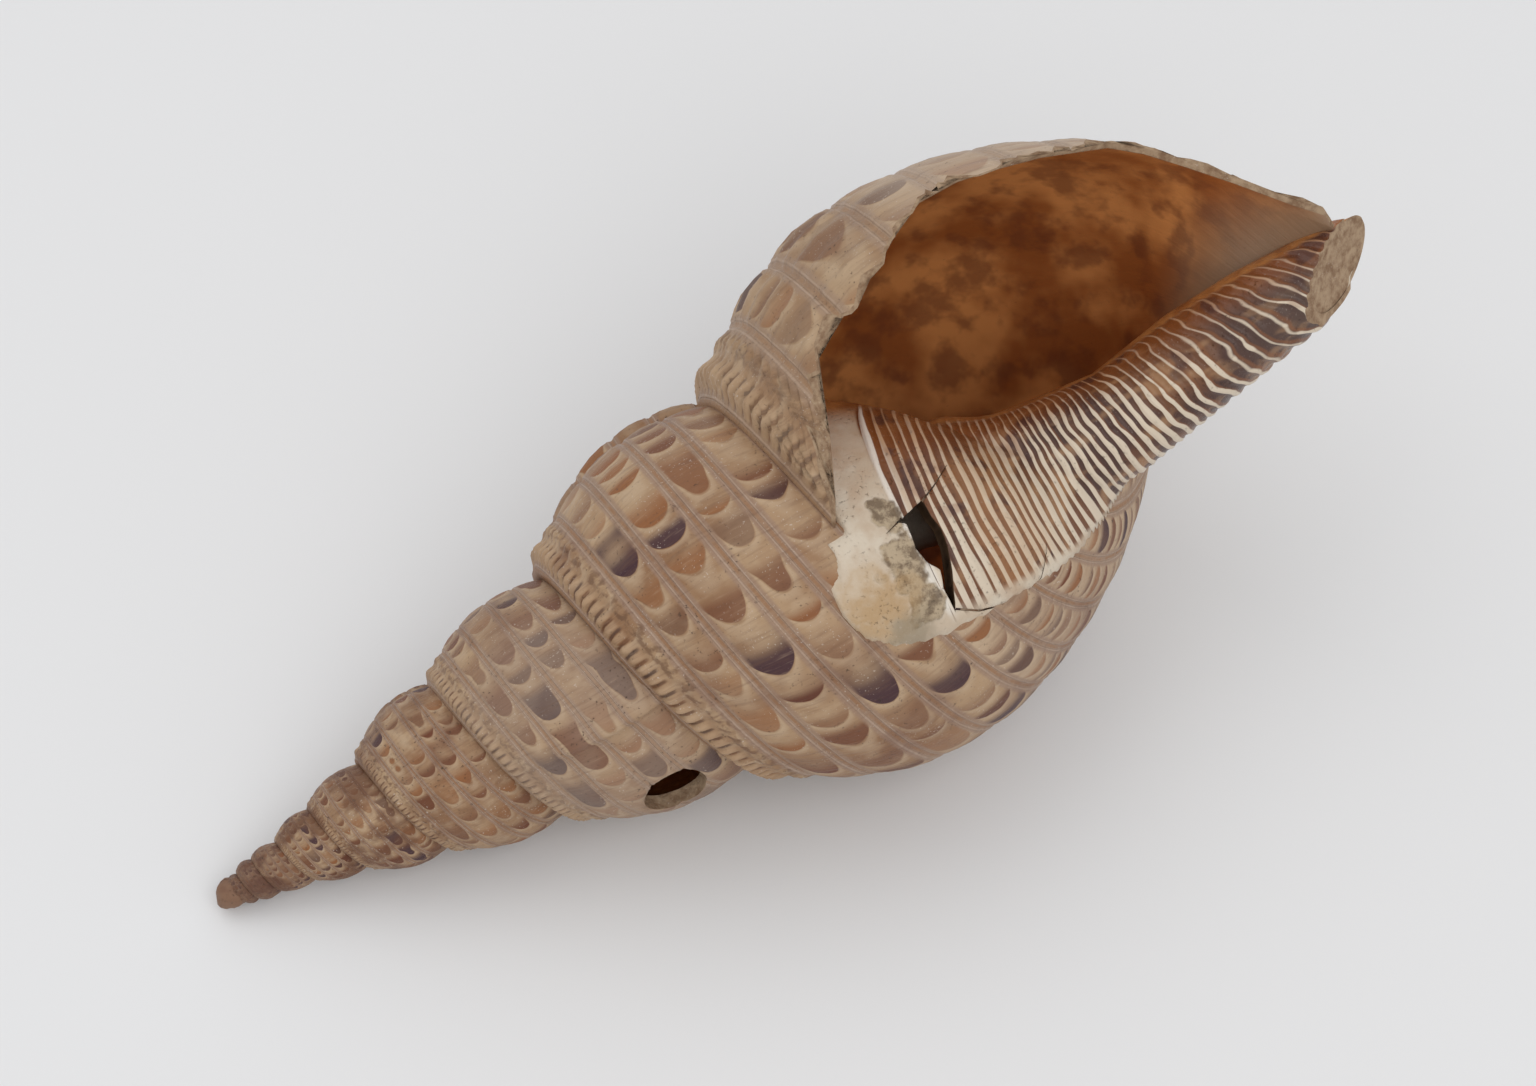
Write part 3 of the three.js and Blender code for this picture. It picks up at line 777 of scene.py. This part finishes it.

# Chalk shows where the glaze has flaked round the broken hole, with a yellow stain beside it. Its grey,
# in the low crumbs of its relief, is partly real grey chalk and partly painted shade.
crumbs = cloud(tree, object_place, 260, 4, 0.65)
chalk_patch = calc(tree, "MAXIMUM", near(tree, object_place, (20, -46, 110), 7.0, mottle),
                   calc(tree, "MAXIMUM", near(tree, object_place, (20, -33, 115), 5.0, mottle),
                        near(tree, object_place, (22, -56, 102), 5.5, mottle)))
# Grey chalk with painted shade in the low crumbs, cream on the high ones.
chalk = lay(tree, ease(tree, crumbs, 0.40, 0.60), chalk_grey_and_pit_shade, chalk_cream)
surface = wash(tree, surface, chalk_patch, 0.9, chalk)
yellow_patch = near(tree, object_place, (9, -53, 106), 13.0, mottle, 0.6)
yellow_strength = ease(tree, mottle, 0.30, 0.62, 0.35, 0.85)
surface = wash(tree, surface, yellow_patch, yellow_strength, yellow_stain)
grey_patch = near(tree, object_place, (17, -61, 98), 9.5, mottle, 0.3)
surface = wash(tree, surface, grey_patch, 0.7, grey_stain)

aged_height = add_age(tree, skin, surface, 0.35, 0.2)
tree.links.new(calc(tree, "MULTIPLY_ADD", chalk_patch, 0.5, 0.30), skin["Roughness"])
skin["Specular IOR Level"].default_value = 0.35
chalk_height = product(tree, crumbs, chalk_patch, 1.5)
add_relief(tree, skin, calc(tree, "ADD", chalk_height, aged_height), 0.6, 0.0008)

lip_mesh.materials.append(glaze)
lip_mesh.materials.append(broken)
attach(inner_lip, "root")
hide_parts("shell")

# Pillar: the solid core under the glaze, round which the whole shell is coiled. It is the same
# shell, and its snapped end shows at the canal.
post_rings, post_sides = 60, 64
post_bottom, post_length, post_inset = 202, 179.6, 0.4
post_bm = bmesh.new()
post_wrinkle = post_bm.loops.layers.uv.new("wrinkle")
post_finish = post_bm.loops.layers.uv.new("finish")
post_grid = bmesh.ops.create_grid(post_bm, x_segments=post_sides, y_segments=post_rings, size=1)
post_verts = post_grid["verts"]
post_turn = np.array([(v.co.x + 1) / 2 for v in post_verts])
turn_of_post = dict(zip(post_verts, post_turn))
post_height = np.array([post_bottom + (v.co.y + 1) / 2 * post_length for v in post_verts])
out = pillar_out(post_turn, post_height) - post_inset
for vert, place in zip(post_verts, laid(out * np.cos(post_turn * 2 * math.pi),
                                        out * np.sin(post_turn * 2 * math.pi), post_height)):
    vert.co = place
for face in post_bm.faces:
    face.smooth = True
    for loop in face.loops:
        loop[post_wrinkle].uv = (turn_of_post[loop.vert] - 1, 0)
        loop[post_finish].uv = (0, 0.9)
bmesh.ops.remove_doubles(post_bm, verts=post_bm.verts, dist=1e-6)
bmesh.ops.holes_fill(post_bm, edges=[e for e in post_bm.edges if e.is_boundary], sides=0)
pillar_mesh = bpy.data.meshes.new("pillar")
post_bm.to_mesh(pillar_mesh)
post_bm.free()
pillar_mesh.materials.append(glaze)
pillar_mesh.materials.append(broken)
pillar = bpy.data.objects.new("pillar", pillar_mesh)
bpy.context.scene.collection.objects.link(pillar)
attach(pillar, "root")
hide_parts("shell")


# Breaks: the blow hole bored from outside, the small hole beside the inner lip with its cracks, and the
# end of the canal snapped off flat. The blow hole goes through the wall, the small hole through the
# wall and the glaze, the cracks through the glaze, and the snap through the wall, the glaze and the
# pillar.
def surface_place(turn, height):
    """A place on the skin of the whorl before, and the way out of the shell there."""
    places = []
    for turn_step, height_step in ((0, 0), (0.002, 0), (0, 0.5)):
        near_turn, near_height = np.array(turn + turn_step), np.array(height + height_step)
        out = before_out(near_turn, near_height)[0] + 1.0
        angle = near_turn * 2 * math.pi
        places.append(Vector(laid(out * np.cos(angle), out * np.sin(angle), near_height)))
    outward = (places[1] - places[0]).cross(places[2] - places[0]).normalized()
    return places[0], outward


def cutter(corners, outward, depth, above=0.004):
    """A block with a given outline, in metres, from above the skin down to a depth."""
    block_bm = bmesh.new()
    block_face = block_bm.faces.new([block_bm.verts.new(c + outward * above) for c in corners])
    below = bmesh.ops.extrude_face_region(block_bm, geom=[block_face])["geom"]
    bmesh.ops.translate(block_bm, vec=-outward * (above + depth),
                        verts=[v for v in below if isinstance(v, bmesh.types.BMVert)])
    bmesh.ops.recalc_face_normals(block_bm, faces=block_bm.faces)
    return block_bm


def cut_out(piece, block_bm, finish):
    """Takes a block out of a piece and gives the cut faces a finish."""
    block_mesh = bpy.data.meshes.new("cutter")
    block_bm.to_mesh(block_mesh)
    block_mesh.materials.append(finish)
    block = bpy.data.objects.new("cutter", block_mesh)
    bpy.context.scene.collection.objects.link(block)
    cut = piece.modifiers.new("cut", "BOOLEAN")
    cut.object, cut.operation, cut.solver = block, "DIFFERENCE", "EXACT"
    cut.material_mode = "TRANSFER"
    whole = piece.data
    piece.data = bpy.data.meshes.new_from_object(
        piece.evaluated_get(bpy.context.evaluated_depsgraph_get()))
    piece.modifiers.remove(cut)
    piece.data.name = whole.name
    bpy.data.meshes.remove(whole)
    bpy.data.objects.remove(block)
    bpy.data.meshes.remove(block_mesh)


# Shaded break: the same shell, painted dark brown as shade in the small hole and the cracks.
shaded_break, tree, skin = new_material("break_painted_shade")
shade_dark, shade_brown = tint(58, 36, 20), tint(98, 72, 44)
shade_cloud = cloud(tree, put(tree, "ShaderNodeTexCoord").outputs["Object"], 300, 3)
tree.links.new(lay(tree, shade_cloud, shade_dark, shade_brown), skin["Base Color"])
skin["Roughness"].default_value = 0.8

# The blow hole is bored through the wall, and is not quite round. Its sizes are in metres.
blow_radius, blow_sides, blow_depth = 0.0095, 40, 0.010
blow_place = Vector((-0.05136, -0.05108, 0.04291))
blow_outward = Vector((-0.018, -1, -0.014)).normalized()
blow_along = blow_outward.cross(Vector((0, 0, 1))).normalized()
blow_up = blow_along.cross(blow_outward)
blow_corners = []
for side_number in range(blow_sides):
    bearing = 2 * math.pi * side_number / blow_sides
    reach = blow_radius * (1 + 0.05 * noise.noise(Vector((math.cos(bearing), math.sin(bearing), 0.7))))
    blow_aside = math.cos(bearing) * blow_along + math.sin(bearing) * blow_up
    blow_corners.append(blow_place + reach * blow_aside)
cut_out(shell_wall, cutter(blow_corners, blow_outward, blow_depth), broken)

# The small hole beside the inner lip, and the cracks that run from it: turn, height.
break_depth, crack_depth, crack_half_width = 0.009, 0.003, 0.00032
break_outline = [(-0.747, 236.4), (-0.741, 227.8), (-0.736, 229.4), (-0.727, 229.0), (-0.716, 228.2),
                 (-0.703, 229.2), (-0.691, 231.2), (-0.678, 229.6), (-0.657, 229.2), (-0.681, 233.4),
                 (-0.702, 236.3), (-0.717, 237.0), (-0.730, 236.4)]
break_outward = surface_place(-0.71, 232.0)[1]
break_corners = [surface_place(*corner)[0] for corner in break_outline]
# The small hole's cut walls are painted dark as shade.
for piece in (shell_wall, inner_lip):
    cut_out(piece, cutter(break_corners, break_outward, break_depth), shaded_break)

cracks = [[(-0.745, 235.6), (-0.752, 240.6), (-0.765, 246.2)],
          [(-0.742, 229.0), (-0.738, 223.8)],
          [(-0.659, 229.6), (-0.643, 235.0), (-0.631, 240.7), (-0.622, 247.1), (-0.610, 252.0),
           (-0.619, 256.6), (-0.628, 259.8)]]
for crack in cracks:
    spots = [surface_place(*point) for point in crack]
    one_side, other_side, last = [], [], len(spots) - 1
    for number, (spot, way_out) in enumerate(spots):
        onward = spots[min(number + 1, last)][0] - spots[max(number - 1, 0)][0]
        half_width = crack_half_width * (1 - 0.8 * number / last)
        aside = onward.cross(way_out).normalized() * half_width
        one_side.append(spot + aside)
        other_side.append(spot - aside)
    crack_outward = sum((way_out for _, way_out in spots), Vector()).normalized()
    crack_corners = one_side + other_side[::-1]
    # The crack's cut walls are painted dark as shade.
    cut_out(inner_lip, cutter(crack_corners, crack_outward, crack_depth, 0.003), shaded_break)

# The end of the canal is snapped off along a slanting plane through the pillar's tip.
canal_reach = 0.034  # metres round the tip that the snap can touch
canal_point = np.array((-0.4, 0.0, 371.5))
canal_facing, canal_upward = math.radians(137), math.radians(38)
canal_ahead = np.array((math.cos(canal_upward) * math.cos(canal_facing),
                        math.cos(canal_upward) * math.sin(canal_facing), math.sin(canal_upward)))
canal_place = Vector(laid(*canal_point))
canal_outward = (Vector(laid(*(canal_point + canal_ahead))) - canal_place).normalized()


def snap_off(piece_bm, finish, deeper):
    """Takes away what lies past the plane at the canal's end, and closes the cut."""
    plane_place = canal_place - canal_outward * deeper
    faces = [f for f in piece_bm.faces
             if (f.calc_center_median() - canal_place).length < canal_reach]
    edges = dict.fromkeys(e for f in faces for e in f.edges)
    verts = dict.fromkeys(v for f in faces for v in f.verts)
    bmesh.ops.bisect_plane(piece_bm, geom=[*faces, *edges, *verts], dist=1e-7, plane_co=plane_place,
                           plane_no=canal_outward, clear_outer=True)
    open_edges = [e for e in piece_bm.edges if e.is_boundary]
    filled = bmesh.ops.holes_fill(piece_bm, edges=open_edges, sides=0)
    for face in filled["faces"]:
        face.material_index = finish
        face.smooth = False
    bmesh.ops.triangulate(piece_bm, faces=filled["faces"])


# Each piece is snapped a little deeper than the next, so that no two cut faces lie in one plane.
for piece, deeper in ((shell_wall, 0.0006), (inner_lip, 0.0), (pillar, 0.0003)):
    piece_bm = bmesh.new()
    piece_bm.from_mesh(piece.data)
    snap_off(piece_bm, piece.data.materials.find("broken_shell"), deeper)
    face_outward(piece_bm)
    piece_bm.to_mesh(piece.data)
    piece_bm.free()

# Floor: a plain pale sheet of card, which is not part of the object. It lies just under the
# lowest point of the shell.
floor_reach = 6
floor_bm = bmesh.new()
bmesh.ops.create_grid(floor_bm, x_segments=1, y_segments=1, size=floor_reach)
floor_mesh = bpy.data.meshes.new("floor")
floor_bm.to_mesh(floor_mesh)
floor_bm.free()
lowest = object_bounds()[0][2]
for vert in floor_mesh.vertices:
    vert.co.z = lowest
floor = bpy.data.objects.new("floor", floor_mesh)
bpy.context.scene.collection.objects.link(floor)
card, tree, skin = new_material("pale_card")
skin["Base Color"].default_value = (0.80, 0.80, 0.80, 1)
skin["Roughness"].default_value = 0.9
floor_mesh.materials.append(card)

# Light: an even pale surround, a wide soft box overhead behind the shell and one in front of it.
world = bpy.data.worlds.new("surround")
bpy.context.scene.world = world
world.use_nodes = True
surround = world.node_tree.nodes["Background"].inputs
surround["Color"].default_value = (0.965, 0.97, 0.985, 1)
surround["Strength"].default_value = 0.75
bpy.context.scene.view_settings.view_transform = "Standard"


def soft_box(name, place, aim, size, power):
    """A square light of a size in metres, turned to a point."""
    data = bpy.data.lights.new(name, "AREA")
    data.shape = "SQUARE"
    data.size = size
    data.energy = power
    box = bpy.data.objects.new(name, data)
    box.location = place
    box.rotation_euler = (Vector(aim) - Vector(place)).to_track_quat("-Z", "Y").to_euler()
    bpy.context.scene.collection.objects.link(box)


soft_box("overhead_soft_box", (-0.5, 0.6, 1.6), (0, 0, 0.05), 1.4, 4.4)
soft_box("front_soft_box", (0.1, -1.1, 1.5), (0.05, 0, 0.08), 1.2, 6.9)

# Camera: a long lens, high in front of the shell, on the side of the blow hole.
camera_data = bpy.data.cameras.new("camera")
camera_data.lens = 100
camera_data.sensor_width = 36
camera = bpy.data.objects.new("camera", camera_data)
bpy.context.scene.collection.objects.link(camera)
camera_place = Vector((-0.24388, -0.59279, 1.09187))
camera_ahead = Vector((0.20127, 0.49055, -0.84785))
camera_level = camera_ahead.to_track_quat("-Z", "Y").to_matrix()
camera_roll = Matrix.Rotation(math.radians(-1.567), 3, "Z")
camera.matrix_world = Matrix.Translation(camera_place) @ (camera_level @ camera_roll).to_4x4()
bpy.context.scene.camera = camera
